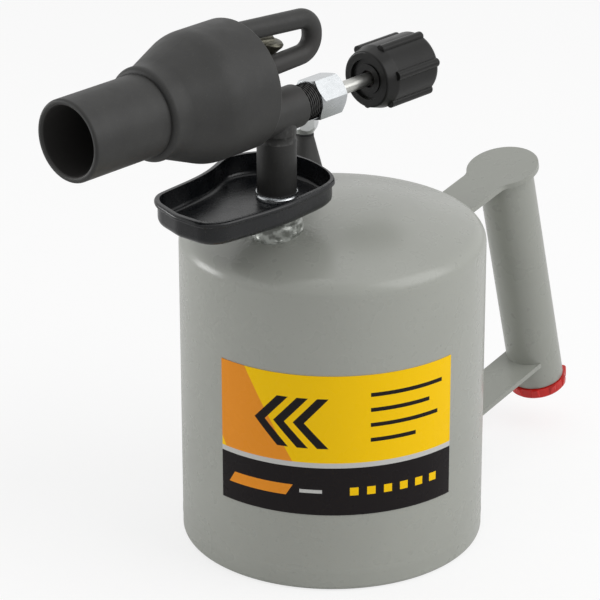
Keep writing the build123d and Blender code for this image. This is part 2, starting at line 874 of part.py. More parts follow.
def make_filler_plug():
    """Hexagon plug with a coned underside and a screwed stem."""
    seat = filler_top_height + filler_gasket_thickness
    hex_start = seat + plug_cone_height
    hex_end = hex_start + plug_hex_height
    corner_radius = plug_across_flats / sqrt(3)
    plug = turned_corners(
        (0, seat), (filler_gasket_radius, seat), (corner_radius, hex_start), (0, hex_start)
    )
    plug = plug & hex_bar(plug_across_flats, seat - overrun, hex_start, plug_turn)
    plug += chamfered_hex(plug_across_flats, hex_start, hex_end, plug_hex_chamfer, plug_turn) + hex_bar(
        plug_across_flats, hex_start, hex_start + plug_hex_chamfer, plug_turn
    )
    stem_radius = filler_bore - running_clearance
    plug += upright(stem_radius, filler_top_height - plug_stem_length, seat)
    return filler_frame * plug


def make_handle_tube():
    """Pump barrel that is also the grip."""
    tube = sleeve(handle_radius, tube_bore, bracket_thickness, handle_length)
    tube = handle_frame * tube
    return tube - on_handle(0, air_tube_station()) * upright(air_tube_bore, 0, handle_radius + overrun)


def make_handle_top_bracket():
    """Keyhole plate: a disc that closes the barrel and an arm to the tank."""
    arm = Pos(-bracket_reach, 0) * Rectangle(
        bracket_reach, 2 * top_bracket_half_width, align=(Align.MIN, Align.CENTER)
    )
    plan = Pos(-top_bracket_disc_offset, 0) * Circle(top_bracket_disc_radius) + arm
    blend_reach = top_bracket_disc_offset + sqrt(
        top_bracket_disc_radius**2 - top_bracket_half_width**2
    )
    corners = plan.vertices().filter_by_position(
        Axis.X, -blend_reach - overrun / 2, -blend_reach + overrun / 2
    )
    plan = fillet(corners, top_bracket_blend)
    plate = extrude(plan, bracket_thickness)
    return handle_frame * plate - tank_form()


def make_handle_lower_bracket():
    """Flat arm between the tank and the barrel's lower end."""
    arm = Pos(-bracket_reach, 0) * Rectangle(
        bracket_reach, 2 * lower_bracket_half_width, align=(Align.MIN, Align.CENTER)
    )
    plate = extrude(Plane.XY.offset(lower_bracket_station) * arm, bracket_thickness)
    plate -= upright(handle_radius, 0, handle_length)
    return handle_frame * plate - tank_form()


def make_air_tube():
    """Thin pipe under the top bracket, from the barrel to the tank."""
    pipe = on_handle(0, air_tube_station()) * sleeve(
        air_tube_radius, air_tube_bore, handle_radius - handle_wall / 2, bracket_reach
    )
    return pipe - tank_form() - handle_frame * upright(handle_radius, 0, handle_length)


def check_seat_station():
    """Station of the flat seat that the check valve's port opens in."""
    return bracket_thickness + check_body_length - check_ball_radius


def check_ball_station():
    """Place of the ball's centre when it sits on the edge of its port."""
    sit = sqrt((check_ball_radius + running_clearance) ** 2 - check_port_radius**2)
    return check_seat_station() - sit


def make_check_valve_body():
    """Block at the barrel's top with the ball's chamber, its seat and the way out to the tank."""
    top = bracket_thickness
    bottom = top + check_body_length
    roof = check_ball_station() - check_ball_radius - check_ball_lift - running_clearance
    block = upright(tube_bore, top, bottom)
    block -= upright(check_chamber_radius, roof, check_seat_station())
    block -= upright(check_port_radius, roof, bottom + overrun)
    side_way = upright(check_side_way_radius, air_tube_station(), check_seat_station())
    block -= Pos(check_side_way_radius - check_chamber_radius, 0, 0) * side_way
    block = handle_frame * block
    return block - on_handle(0, air_tube_station()) * upright(air_tube_bore, 0, tube_bore + overrun)


def make_check_valve_ball():
    """Steel ball that falls shut on its seat."""
    return handle_frame * Pos(0, 0, check_ball_station()) * Sphere(check_ball_radius)


def make_pump_guide():
    """End plug of the barrel that guides the rod."""
    start = handle_length - guide_length
    return handle_frame * sleeve(tube_bore, rod_radius + running_clearance, start, handle_length)


def rod_end_station():
    """Station of the rod's end inside the red knob."""
    return handle_length + resting_gap + rod_knob_depth


def make_pump_rod():
    """Steel rod from the piston into the red knob."""
    start = piston_station - cup_thickness - piston_nut_height - rod_top_gap
    return handle_frame * upright(rod_radius, start, rod_end_station())


def make_pump_piston():
    """Disc that backs the leather cup."""
    disc = sleeve(piston_radius, rod_radius, piston_station, piston_station + piston_thickness)
    return handle_frame * disc


def make_pump_cup():
    """Leather cup that seals the stroke, open towards the check valve."""
    outer = tube_bore - running_clearance
    inner = outer - cup_thickness
    skirt_top = piston_station - cup_skirt
    floor = piston_station - cup_thickness
    cup = turned_corners(
        (rod_radius, floor),
        (inner, floor),
        (inner, skirt_top),
        (outer, skirt_top),
        (outer, piston_station),
        (rod_radius, piston_station),
    )
    return handle_frame * cup


def make_piston_nut():
    """Nut that clamps the cup on the rod."""
    end = piston_station - cup_thickness
    nut = chamfered_hex(piston_nut_across_flats, end - piston_nut_height, end, piston_nut_chamfer)
    nut -= upright(rod_radius, end - piston_nut_height - overrun, end + overrun)
    return handle_frame * nut


def make_pump_knob():
    """Lobed red knob on the rod's lower end."""
    start = handle_length + resting_gap
    plan = Circle(pump_knob_radius)
    lobe_centre = pump_knob_radius + pump_knob_lobe_proud - pump_knob_lobe_radius
    for lobe_place in PolarLocations(lobe_centre, pump_knob_lobes):
        plan += lobe_place * Circle(pump_knob_lobe_radius)
    knob = extrude(Plane.XY.offset(start) * plan, pump_knob_thickness)
    end = start + pump_knob_thickness
    widest = pump_knob_radius + pump_knob_lobe_proud
    dome = turned_corners(
        (0, start),
        (widest, start),
        (widest - pump_knob_taper, end - pump_knob_round),
        (widest - pump_knob_taper - pump_knob_round, end),
        (0, end),
    )
    return handle_frame * ((knob & dome) - upright(rod_radius, 0, rod_end_station()))


makers = {
    "tank_shell": make_tank_shell,
    "tank_bottom": make_tank_bottom,
    "label": make_label,
    "riser_boss": make_riser_boss,
    "riser_tube": make_riser_tube,
    "riser_weld": make_riser_weld,
    "pickup_tube": make_pickup_tube,
    "pickup_strainer": make_pickup_strainer,
    "preheat_tray": make_preheat_tray,
    "tray_nut": make_tray_nut,
    "valve_body": make_valve_body,
    "gland_packing": make_gland_packing,
    "gland_nut": make_gland_nut,
    "valve_spindle": make_valve_spindle,
    "stem_washer": make_stem_washer,
    "valve_knob": make_valve_knob,
    "knob_screw": make_knob_screw,
    "flame_tube": make_flame_tube,
    "flame_housing": make_flame_housing,
    "burner_head": make_burner_head,
    "mixing_tube": make_mixing_tube,
    "vaporizer_tube": make_vaporizer_tube,
    "vaporizer_ring": make_vaporizer_ring,
    "jet_block": make_jet_block,
    "jet_nozzle": make_jet_nozzle,
    "cleaning_plug": make_cleaning_plug,
    "filler_neck": make_filler_neck,
    "filler_gasket": make_filler_gasket,
    "filler_plug": make_filler_plug,
    "handle_tube": make_handle_tube,
    "handle_top_bracket": make_handle_top_bracket,
    "handle_lower_bracket": make_handle_lower_bracket,
    "air_tube": make_air_tube,
    "check_valve_body": make_check_valve_body,
    "check_valve_ball": make_check_valve_ball,
    "pump_guide": make_pump_guide,
    "pump_rod": make_pump_rod,
    "pump_piston": make_pump_piston,
    "pump_cup": make_pump_cup,
    "piston_nut": make_piston_nut,
    "pump_knob": make_pump_knob,
}

for node, make in makers.items():
    export_step(make(), f"parts/{node}.step")
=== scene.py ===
"""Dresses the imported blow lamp: paint, plating, print, brazing and a plain studio."""

import json
from math import atan2, cos, pi, radians, sin, sqrt

import bmesh
import bpy
from bpy.props import FloatProperty, FloatVectorProperty, PointerProperty
from mathutils import Matrix, Vector, noise


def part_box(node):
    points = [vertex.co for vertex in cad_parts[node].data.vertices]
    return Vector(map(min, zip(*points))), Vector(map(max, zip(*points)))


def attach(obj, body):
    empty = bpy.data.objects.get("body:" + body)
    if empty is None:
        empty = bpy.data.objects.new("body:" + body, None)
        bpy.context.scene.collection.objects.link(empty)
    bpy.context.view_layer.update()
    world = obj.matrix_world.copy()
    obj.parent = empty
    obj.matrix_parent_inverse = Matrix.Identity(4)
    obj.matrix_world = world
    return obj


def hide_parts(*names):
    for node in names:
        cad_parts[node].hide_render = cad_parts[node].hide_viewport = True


bl_info = {
    "name": "Blow lamp finishes",
    "version": (1, 0, 0),
    "blender": (4, 5, 0),
    "location": "3D View > Sidebar > Blow lamp",
    "description": "Paints, plates and prints the packed blow lamp and sets up its studio",
    "category": "Object",
}

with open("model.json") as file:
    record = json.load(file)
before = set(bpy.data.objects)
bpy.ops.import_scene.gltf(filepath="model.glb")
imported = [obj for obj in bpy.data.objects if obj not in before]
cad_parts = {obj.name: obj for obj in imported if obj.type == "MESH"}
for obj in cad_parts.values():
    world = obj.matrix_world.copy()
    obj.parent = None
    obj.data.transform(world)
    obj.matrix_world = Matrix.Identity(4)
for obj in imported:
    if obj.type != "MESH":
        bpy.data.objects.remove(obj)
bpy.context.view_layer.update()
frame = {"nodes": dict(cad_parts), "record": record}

MM = 0.001
MERGE_REACH = 0.001 * MM
SHARP_ANGLE = radians(32)
FULL_TURN = 2 * pi
X_AXIS = (1, 0, 0)
Z_AXIS = (0, 0, 1)
HEX_PAIRS = (1, 3, 5)

# Share of the powder coat's colour that its darker clouds keep
CLOUD_SHARE = 0.94
# Shares of the flame tube's wall, from outside, where the soot starts and where it is whole
LIP_SHARE = 0.75
SOOT_SHARE = 0.9
# Share of the spatter's reach inside which it is whole
SPATTER_CORE_SHARE = 0.6
# Scales along X, Y and Z that draw a pattern out into streaks, or thin it to a lathe's rings
STREAKS_ALONG_X = (0.25, 3, 3)
STREAKS_ALONG_Z = (3, 3, 0.25)
RINGS_ROUND_X = (4, 0.4, 0.4)
RINGS_ROUND_Z = (0.4, 0.4, 4)

# The foot's corner is cut into slices before it is drawn sharper
FOOT_SLICE_MM = 0.25
FOOT_SLICES = 19

# Weld beads: sides of a section, steps along, heights over the plate's foot, and ripples
BEAD_SIDES = 12
BEAD_STEPS = 40
BEAD_LEVELS_MM = (0.4, 3.0)
RIPPLE_SHARE = 0.18
RIPPLE_MM = 0.55

# Brazing: steps round the boss, how far it is set into it, and the size of its lumps
BRAZE_STEPS = 96
BRAZE_SET_IN_SHARE = 0.9
LUMP_SIZE = 4.5 * MM

# Half height of the label's band, and half width of a block that passes both of its ends
BAND_MM = 9.6
PAST_ENDS_MM = 60

# The tray is cut into slices, and these powers set where its waist and bulge are deepest
TRAY_SLICES = 40
WAIST_POWER = 0.68
BULGE_POWER = 0.85

# Cleaning screw: sides of its shank, steps round its head and the axis the head leans about,
# then the head's outline from its middle down to the shank, as shares of its radius
SHANK_SIDES = 24
HEAD_STEPS = 36
LEAN_AXIS = (0.73, 0.68, 0)
HEAD_TOP = ((0, 0.12), (0.5, 0.1), (0.86, 0), (1, -0.16))
HEAD_UNDERSIDE = ((0.96, -0.34), (0.74, -0.62), (0.52, -0.96), (0.42, -1.3), (0, -1.3))
HEAD_OUTLINE = HEAD_TOP + HEAD_UNDERSIDE

# Steps round the floor of the recess in the valve's knob
RECESS_STEPS = 64

# Thread: steps in all, half width of its foot as a share of the pitch, and how far it is sunk
THREAD_STEPS = 100
THREAD_SIDE_SHARE = 0.55
THREAD_SUNK = 0.2 * MM

# Studio: how far the camera sees, where the lamps aim, and each lamp's name, power setting,
# size and place from there, to the camera's right, ahead of it and up
CAMERA_SIGHT = 20
LAMP_AIM = (0, 0, 0.1)
LAMPS = (
    ("Key", "key_power", 1.1, (1.0, -0.35, 0.75)),
    ("Top", "top_power", 1.4, (0, 0.2, 1.3)),
    ("Rim", "rim_power", 0.5, (-1.2, 0.25, 0.05)),
)
FLOOR_HALF_WIDTH = 6
BOARD_WHITE = 0.9


# Shared helpers


def linear(hex_colour):
    """An sRGB hex colour as linear red, green and blue."""
    shares = [int(hex_colour[at : at + 2], 16) / 255 for at in HEX_PAIRS]
    return tuple(c / 12.92 if c <= 0.04045 else ((c + 0.055) / 1.055) ** 2.4 for c in shares)


def add_node(tree, kind, inputs=None, **settings):
    """One shader node with its settings, its values and its links."""
    node = tree.nodes.new(kind)
    for name, value in settings.items():
        setattr(node, name, value)
    for socket, value in (inputs or {}).items():
        if isinstance(value, bpy.types.NodeSocket):
            tree.links.new(value, node.inputs[socket])
        else:
            node.inputs[socket].default_value = value
    return node


class Finish:
    """A material under way: its shader, and patterns laid over it one after the other."""

    def __init__(self, name, colour, roughness, metallic=0.0, **sockets):
        self.material = bpy.data.materials.new(name)
        self.material.use_nodes = True
        self.tree = self.material.node_tree
        self.shader = self.tree.nodes["Principled BSDF"]
        self.shader.inputs["Base Color"].default_value = (*colour, 1)
        self.shader.inputs["Metallic"].default_value = metallic
        self.shader.inputs["Roughness"].default_value = roughness
        for socket, value in sockets.items():
            self.shader.inputs[socket.replace("_", " ")].default_value = value
        place = add_node(self.tree, "ShaderNodeTexCoord")
        self.place = place.outputs["Object"]

    def lumps(self, size_mm, detail=2.0, stretch=(1, 1, 1)):
        """An uneven pattern between 0 and 1 with lumps of a real size, finer where stretched."""
        values = {"Vector": self.place, "Scale": stretch}
        stretched = add_node(self.tree, "ShaderNodeMapping", values)
        values = {"Vector": stretched.outputs[0], "Scale": 1 / (size_mm * MM), "Detail": detail}
        return add_node(self.tree, "ShaderNodeTexNoise", values).outputs["Fac"]

    def relief(self, pattern, depth_mm):
        """Height of a real depth, laid over the relief the shader already has."""
        values = {"Height": pattern, "Distance": depth_mm * MM}
        normal = self.shader.inputs["Normal"]
        if normal.is_linked:
            values["Normal"] = normal.links[0].from_socket
        bump = add_node(self.tree, "ShaderNodeBump", values)
        self.tree.links.new(bump.outputs["Normal"], normal)

    def tint(self, pattern, colour, start=0.0, full=1.0, amount=1.0):
        """Another colour that sets in where a pattern passes one value and is full at another."""
        values = {"Value": pattern, "From Min": start, "From Max": full, "To Max": amount}
        cover = add_node(self.tree, "ShaderNodeMapRange", values)
        base = self.shader.inputs["Base Color"]
        under = base.links[0].from_socket if base.is_linked else tuple(base.default_value)
        values = {0: cover.outputs["Result"], 6: under, 7: (*colour, 1)}
        mixed = add_node(self.tree, "ShaderNodeMix", values, data_type="RGBA")
        self.tree.links.new(mixed.outputs[2], base)

    def vary(self, socket, pattern, low, high, start=0.0, full=1.0):
        """A shader value that goes from low to high as a pattern goes from start to full."""
        values = {"Value": pattern, "From Min": start, "From Max": full}
        values |= {"To Min": low, "To Max": high}
        spread = add_node(self.tree, "ShaderNodeMapRange", values)
        self.tree.links.new(spread.outputs["Result"], self.shader.inputs[socket])


def dress(node, finish):
    """Gives a finish to one CAD node."""
    mesh = frame["nodes"][node].data
    mesh.materials.clear()
    mesh.materials.append(finish.material)


def paint(slot, finish):
    """Gives a finish to every CAD node of one material slot."""
    nodes = [p["node"] for p in frame["record"]["subparts"] if p["material_slot"] == slot]
    if not nodes:
        raise RuntimeError(f"no CAD node has the slot {slot}")
    for node in nodes:
        dress(node, finish)


def everything(bm):
    """Every vertex, edge and face of a bmesh."""
    return list(bm.verts) + list(bm.edges) + list(bm.faces)


def half_angle(half_width, radius):
    """Half of the angle that a straight width takes on a circle."""
    return atan2(half_width, sqrt(radius**2 - half_width**2))


def sliced_copy(node, axis, places):
    """A CAD node's mesh, merged and cut across one axis so that it can be reshaped."""
    bm = bmesh.new()
    bm.from_mesh(frame["nodes"][node].data)
    bmesh.ops.remove_doubles(bm, verts=bm.verts, dist=MERGE_REACH)
    for place in places:
        bmesh.ops.bisect_plane(
            bm,
            geom=everything(bm),
            plane_co=Vector(axis) * place,
            plane_no=axis,
            dist=MERGE_REACH,
        )
    return bm


def turn_outline(bm, points, centre, axis, steps, closed):
    """Turns an outline into a shell, from its edges alone so that no face is left inside."""
    corners = [bm.verts.new(point) for point in points]
    ends = corners[1:] + corners[:1] if closed else corners[1:]
    edges = [bm.edges.new(pair) for pair in zip(corners, ends)]
    bmesh.ops.spin(
        bm,
        geom=corners + edges,
        cent=centre,
        axis=axis,
        angle=FULL_TURN,
        steps=steps,
        use_merge=True,
    )


def spun_bead(section_mm, reach_mm, arc, steps, centre, start=X_AXIS):
    """A round bead swept about an upright axis, from a reach along one direction."""
    bm = bmesh.new()
    full = abs(arc - FULL_TURN) < radians(1)
    out = Vector(start).normalized()
    across = Vector(Z_AXIS).cross(Vector(start)).normalized()
    turn = Matrix((out, Vector(Z_AXIS), across)).transposed().to_4x4()
    place = Matrix.Translation(Vector(centre) + out * reach_mm * MM)
    bmesh.ops.create_circle(
        bm, cap_ends=not full, radius=section_mm * MM, segments=BEAD_SIDES, matrix=place @ turn
    )
    bmesh.ops.spin(
        bm,
        geom=everything(bm),
        cent=centre,
        axis=Z_AXIS,
        angle=arc,
        steps=steps,
        use_merge=full,
    )
    return bm


def ripple_bead(bm, centre, reach_mm):
    """Gives a bead the ripples that the welder's steps leave."""
    for vertex in bm.verts:
        flat = Vector((vertex.co.x - centre[0], vertex.co.y - centre[1], 0))
        angle = atan2(flat.y, flat.x)
        core = Vector(centre) + flat.normalized() * reach_mm * MM
        ripple = 1 + RIPPLE_SHARE * sin(angle * reach_mm / RIPPLE_MM)
        vertex.co = core + (vertex.co - core) * ripple


def new_piece(name, bm, finish, body="lamp"):
    """Turns a bmesh into a piece that rides on one body and finish."""
    bmesh.ops.remove_doubles(bm, verts=bm.verts, dist=MERGE_REACH)
    bmesh.ops.recalc_face_normals(bm, faces=bm.faces)
    for face in bm.faces:
        face.smooth = True
    for edge in bm.edges:
        edge.smooth = edge.calc_face_angle(0) < SHARP_ANGLE
    mesh = bpy.data.meshes.new(name)
    bm.to_mesh(mesh)
    bm.free()
    mesh.materials.append(finish.material)
    piece = bpy.data.objects.new(name, mesh)
    bpy.context.scene.collection.objects.link(piece)
    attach(piece, body)
    return piece


# Sizes, colours and studio settings that a user would change


class LampColours(bpy.types.PropertyGroup):
    """Colours of the lamp's finishes."""

    tank: FloatVectorProperty(
        name="Tank paint",
        description="Powder coat of the tank",
        subtype="COLOR",
        default=linear("#A3A59E"),
    )
    # The handle's coat is the tank's powder coat drawn darker, as painted shade where the tank
    # keeps the room's light off the handle
    handle: FloatVectorProperty(
        name="Handle paint",
        description="Powder coat of the handle and brackets, darker than the tank's as painted shade",
        subtype="COLOR",
        default=linear("#9A9C95"),
    )
    burner: FloatVectorProperty(
        name="Burner coat",
        description="Heat-proof coat of the burner and riser",
        subtype="COLOR",
        default=linear("#343433"),
    )
    tray: FloatVectorProperty(
        name="Tray enamel",
        description="Vitreous enamel of the preheating tray",
        subtype="COLOR",
        default=linear("#0B0D10"),
    )
    knob: FloatVectorProperty(
        name="Valve knob",
        description="Phenolic moulding of the valve's knob",
        subtype="COLOR",
        default=linear("#1A1A19"),
    )
    pump_knob: FloatVectorProperty(
        name="Pump knob",
        description="Plastic of the pump's lobed knob",
        subtype="COLOR",
        default=linear("#C8180E"),
    )
    label_field: FloatVectorProperty(
        name="Label field",
        description="Main colour of the printed label",
        subtype="COLOR",
        default=linear("#FFCE04"),
    )
    label_band: FloatVectorProperty(
        name="Label band",
        description="Dark band of the printed label",
        subtype="COLOR",
        default=linear("#1C1819"),
    )
    label_wedge: FloatVectorProperty(
        name="Label wedge",
        description="Second warm colour of the printed label",
        subtype="COLOR",
        default=linear("#F0962A"),
    )


class LampDetails(bpy.types.PropertyGroup):
    """Sizes of the pieces that this file adds or reshapes."""

    braze_radius: FloatProperty(
        name="Braze radius",
        description="Section of the brazing round the riser's boss",
        unit="LENGTH",
        default=1.9 * MM,
    )
    braze_lump: FloatProperty(
        name="Braze lump",
        description="How far the brazing swells and shrinks",
        unit="LENGTH",
        default=0.9 * MM,
    )
    tray_turn: FloatProperty(
        name="Tray turn",
        description="How far the tray is turned under its nut",
        unit="ROTATION",
        default=radians(2.1),
    )
    tray_waist: FloatProperty(
        name="Tray waist",
        description="Share by which the tray draws in at its far side",
        subtype="FACTOR",
        default=0.125,
    )
    tray_bulge: FloatProperty(
        name="Tray bulge",
        description="Share by which the tray swells at its near side",
        subtype="FACTOR",
        default=0.11,
    )
    tray_far_reach: FloatProperty(
        name="Tray far reach",
        description="Share by which the tray's bowl reaches further at its far side",
        subtype="FACTOR",
        default=0.096,
    )
    tray_near_reach: FloatProperty(
        name="Tray near reach",
        description="Share by which the tray's bowl reaches further at its near side",
        subtype="FACTOR",
        default=-0.04,
    )
    tray_back_reach: FloatProperty(
        name="Tray back reach",
        description="Share of the tray's bowl behind its nut that is kept at the near side",
        subtype="FACTOR",
        default=0.5,
    )
    tray_back_round: FloatProperty(
        name="Tray back round",
        description="Share by which the bowl's near side draws in behind the nut",
        subtype="FACTOR",
        default=0.2,
    )
    tray_skew: FloatProperty(
        name="Tray skew",
        description="Share by which the nose's near side reaches further than its middle",
        subtype="FACTOR",
        default=0.088,
    )
    tray_stretch: FloatProperty(
        name="Tray stretch",
        description="Share by which the tray's nose reaches further out",
        subtype="FACTOR",
        default=0.045,
    )
    foot_corner: FloatProperty(
        name="Foot corner",
        description="Height up to which the foot's rounded corner is drawn sharper",
        unit="LENGTH",
        default=5.0 * MM,
    )
    foot_sharpness: FloatProperty(
        name="Foot sharpness",
        description="Share of the foot's corner round that is left",
        subtype="FACTOR",
        default=0.4,
    )
    seam_share: FloatProperty(
        name="Seam share",
        description="Share of the bottom seam's height that the paint leaves",
        subtype="FACTOR",
        default=0.25,
    )
    bead_radius: FloatProperty(
        name="Bead radius",
        description="Section of the painted weld beads at the lower bracket",
        unit="LENGTH",
        default=1.1 * MM,
    )
    crown_radius: FloatProperty(
        name="Crown radius",
        description="Radius of the tank's domed top, which the brazing lies on",
        unit="LENGTH",
        default=159 * MM,
    )
    flame_tube_wall: FloatProperty(
        name="Flame tube wall",
        description="Thickness of the flame tube, inside which the soot starts",
        unit="LENGTH",
        default=2.25 * MM,
    )
    neck_radius: FloatProperty(
        name="Neck radius",
        description="Radius of the valve body's neck, which the gland screws on",
        unit="LENGTH",
        default=6.7 * MM,
    )
    neck_length: FloatProperty(
        name="Neck length",
        description="Length of the neck that shows between the valve body and its gland",
        unit="LENGTH",
        default=6.8 * MM,
    )
    plug_head: FloatVectorProperty(
        name="Plug head",
        description="Middle of the cleaning plug's flared head",
        subtype="XYZ",
        unit="LENGTH",
        default=(-26.6 * MM, 5.6 * MM, 201.0 * MM),
    )
    plug_head_radius: FloatProperty(
        name="Plug head radius",
        description="Radius of the cleaning plug's flared head",
        unit="LENGTH",
        default=4.7 * MM,
    )
    plug_shank_radius: FloatProperty(
        name="Plug shank radius",
        description="Radius of the cleaning plug's shank",
        unit="LENGTH",
        default=2.0 * MM,
    )
    plug_lean: FloatProperty(
        name="Plug lean",
        description="How far the cleaning plug's head leans",
        unit="ROTATION",
        default=radians(12),
    )
    recess_depth: FloatProperty(
        name="Recess depth",
        description="How deep the ring round the knob's hub lies",
        unit="LENGTH",
        default=1.3 * MM,
    )
    recess_wall: FloatProperty(
        name="Recess wall",
        description="Thickness of the ring round the knob's hub",
        unit="LENGTH",
        default=1.5 * MM,
    )
    hub_radius: FloatProperty(
        name="Hub radius",
        description="Radius of the knob's hub",
        unit="LENGTH",
        default=5.7 * MM,
    )
    recess_radius: FloatProperty(
        name="Recess radius",
        description="Radius of the recess in the knob's front",
        unit="LENGTH",
        default=7.7 * MM,
    )
    spatter_reach: FloatProperty(
        name="Spatter reach",
        description="How far from the riser the brazing roughened the tank's paint",
        unit="LENGTH",
        default=19 * MM,
    )
    thread_pitch: FloatProperty(
        name="Thread pitch",
        description="Pitch of the gland's thread",
        unit="LENGTH",
        default=1.0 * MM,
    )
    thread_height: FloatProperty(
        name="Thread height",
        description="Height of the gland's thread over the valve's neck",
        unit="LENGTH",
        default=0.3 * MM,
    )


class LampStudio(bpy.types.PropertyGroup):
    """Camera, lamps and backdrop."""

    camera_place: FloatVectorProperty(
        name="Camera place",
        description="Where the camera stands",
        subtype="XYZ",
        unit="LENGTH",
        default=(-0.82274, -0.75270, 0.56974),
    )
    camera_heading: FloatProperty(
        name="Camera heading",
        description="Turn of the camera from looking along +Y towards +X",
        unit="ROTATION",
        default=radians(46.92),
    )
    camera_tilt: FloatProperty(
        name="Camera tilt",
        description="How far the camera looks down",
        unit="ROTATION",
        default=radians(23.15),
    )
    camera_roll: FloatProperty(
        name="Camera roll",
        description="Turn of the camera about its own view",
        unit="ROTATION",
        default=radians(-0.14),
    )
    camera_lens: FloatProperty(
        name="Lens",
        description="Focal length in millimetres",
        unit="CAMERA",
        default=193.31,
    )
    key_power: FloatProperty(
        name="Key power",
        description="Watts of the lamp on the right",
        unit="POWER",
        default=8.5,
    )
    top_power: FloatProperty(
        name="Top power",
        description="Watts of the lamp overhead",
        unit="POWER",
        default=3.5,
    )
    rim_power: FloatProperty(
        name="Rim power",
        description="Watts of the low lamp on the left",
        unit="POWER",
        default=5.5,
    )
    ambient: FloatProperty(
        name="Ambient",
        description="Strength of the world on matt surfaces",
        subtype="FACTOR",
        default=0.45,
    )
    backdrop: FloatProperty(
        name="Backdrop",
        description="Brightness of the backdrop to the camera",
        subtype="FACTOR",
        default=0.975,
    )
    floor_shade: FloatProperty(
        name="Floor shade",
        description="Share of the floor's shading that the camera sees",
        subtype="FACTOR",
        default=0.3,
    )
    floor_lift: FloatProperty(
        name="Floor lift",
        description="Light the floor adds towards the camera",
        subtype="FACTOR",
        default=0.745,
    )


# Finishes


def powder_coat(name, colour):
    """Polyester powder coat: sprayed and baked, so a faint orange peel blurs its gloss."""
    finish = Finish(name, colour, roughness=0.26, IOR=1.5)
    finish.relief(finish.lumps(1.6, detail=1.0), depth_mm=0.004)
    finish.relief(finish.lumps(14.0, detail=0.0), depth_mm=0.01)
    finish.vary("Roughness", finish.lumps(9.0), low=0.24, high=0.32)
    clouded = tuple(channel * CLOUD_SHARE for channel in colour)
    finish.tint(finish.lumps(30.0, detail=1.0), clouded, start=0.4, full=0.7, amount=0.5)
    specks = finish.lumps(0.9, detail=0.0)
    finish.tint(specks, linear("#84867F"), start=0.72, full=0.8, amount=0.2)
    return finish


def spattered_coat(name, colour, reach):
    """Powder coat laid over brazing spatter, which roughens it in a round patch at the riser."""
    finish = powder_coat(name, colour)
    low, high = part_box("riser_tube")
    middle = (low + high) / 2
    tree = finish.tree
    level = add_node(tree, "ShaderNodeMapping", {"Vector": finish.place, "Scale": (1, 1, 0)})
    apart = {0: level.outputs[0], 1: (middle.x, middle.y, 0)}
    away = add_node(tree, "ShaderNodeVectorMath", apart, operation="DISTANCE")
    ends = {"From Min": reach, "From Max": reach * SPATTER_CORE_SHARE}
    near = add_node(tree, "ShaderNodeMapRange", {"Value": away.outputs["Value"], **ends})
    lumpy = {0: near.outputs["Result"], 1: finish.lumps(1.5, detail=2.0)}
    spatter = add_node(tree, "ShaderNodeMath", lumpy, operation="MULTIPLY")
    finish.relief(spatter.outputs[0], depth_mm=0.25)
    return finish


def heatproof_coat(name, hex_shade=None, gloss=0.3):
    """Silicone heat-proof paint on rough steel: a fine grit that scatters every highlight,
    drawn coarser than the real one to show."""
    colours = bpy.context.scene.lamp_colours
    colour = linear(hex_shade) if hex_shade else colours.burner
    finish = Finish(name, colour, roughness=0.5, IOR=1.48, Specular_IOR_Level=gloss)
    finish.relief(finish.lumps(0.5, detail=3.0), depth_mm=0.025)
    finish.relief(finish.lumps(6.0), depth_mm=0.06)
    finish.vary("Roughness", finish.lumps(4.0), low=0.42, high=0.58)
    if not hex_shade:
        finish.tint(finish.lumps(11.0), linear("#2A2A29"), start=0.45, full=0.75, amount=0.6)
        grit = finish.lumps(1.0, detail=1.0)
        finish.tint(grit, linear("#3E3E3C"), start=0.6, full=0.75, amount=0.4)
    return finish


def sooted_coat(name):
    """Heat-proof paint under an even film of soot inside the mouth, where the flame stands."""
    finish = heatproof_coat(name)
    wall = bpy.context.scene.lamp_details.flame_tube_wall
    low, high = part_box("flame_tube")
    outer = (high.y - low.y) / 2
    tree = finish.tree
    shift = (0, -(low.y + high.y) / 2, -(low.z + high.z) / 2)
    section = {"Vector": finish.place, "Location": shift, "Scale": (0, 1, 1)}
    centred = add_node(tree, "ShaderNodeMapping", section)
    reach = add_node(tree, "ShaderNodeVectorMath", {0: centred.outputs[0]}, operation="LENGTH")
    finish.tint(
        reach.outputs["Value"],
        linear("#363534"),
        start=outer - wall * LIP_SHARE,
        full=outer - wall * SOOT_SHARE,
    )
    return finish


def rough_coat(name):
    """Heat-proof paint over brazing: thick lumps show through it, paler where they stand up."""
    finish = heatproof_coat(name)
    finish.relief(finish.lumps(3.4, detail=1.0), depth_mm=0.5)
    crests = finish.lumps(2.4, detail=1.0)
    finish.tint(crests, linear("#565654"), start=0.5, full=0.7, amount=0.6)
    return finish


def braze_metal(name):
    """Brazing metal that ran and froze: bright where it is smooth, dull where the flux burnt."""
    finish = Finish(name, linear("#A9ACA7"), roughness=0.4, metallic=0.6)
    finish.relief(finish.lumps(2.4, detail=1.0), depth_mm=0.3)
    finish.relief(finish.lumps(0.8, detail=2.0), depth_mm=0.05)
    finish.vary("Roughness", finish.lumps(2.2), low=0.3, high=0.55)
    dull = finish.lumps(3.1, detail=3.0)
    finish.tint(dull, linear("#6E716B"), start=0.44, full=0.58)
    finish.vary("Metallic", dull, low=0.8, high=0.1, start=0.44, full=0.58)
    return finish


def zinc_plate(name, hex_shade="#C3C6C8", low=0.2, high=0.32, streaks=STREAKS_ALONG_X):
    """Bright zinc plating: streaks of the drawn bar show through its cool white sheen, drawn
    coarser than the real ones to show."""
    finish = Finish(name, linear(hex_shade), roughness=0.26, metallic=1.0)
    finish.relief(finish.lumps(1.2, detail=0.0, stretch=streaks), depth_mm=0.002)
    finish.vary("Roughness", finish.lumps(1.4, stretch=streaks), low, high)
    finish.tint(finish.lumps(4.0), linear("#B2B6B8"), start=0.45, full=0.75, amount=0.4)
    return finish


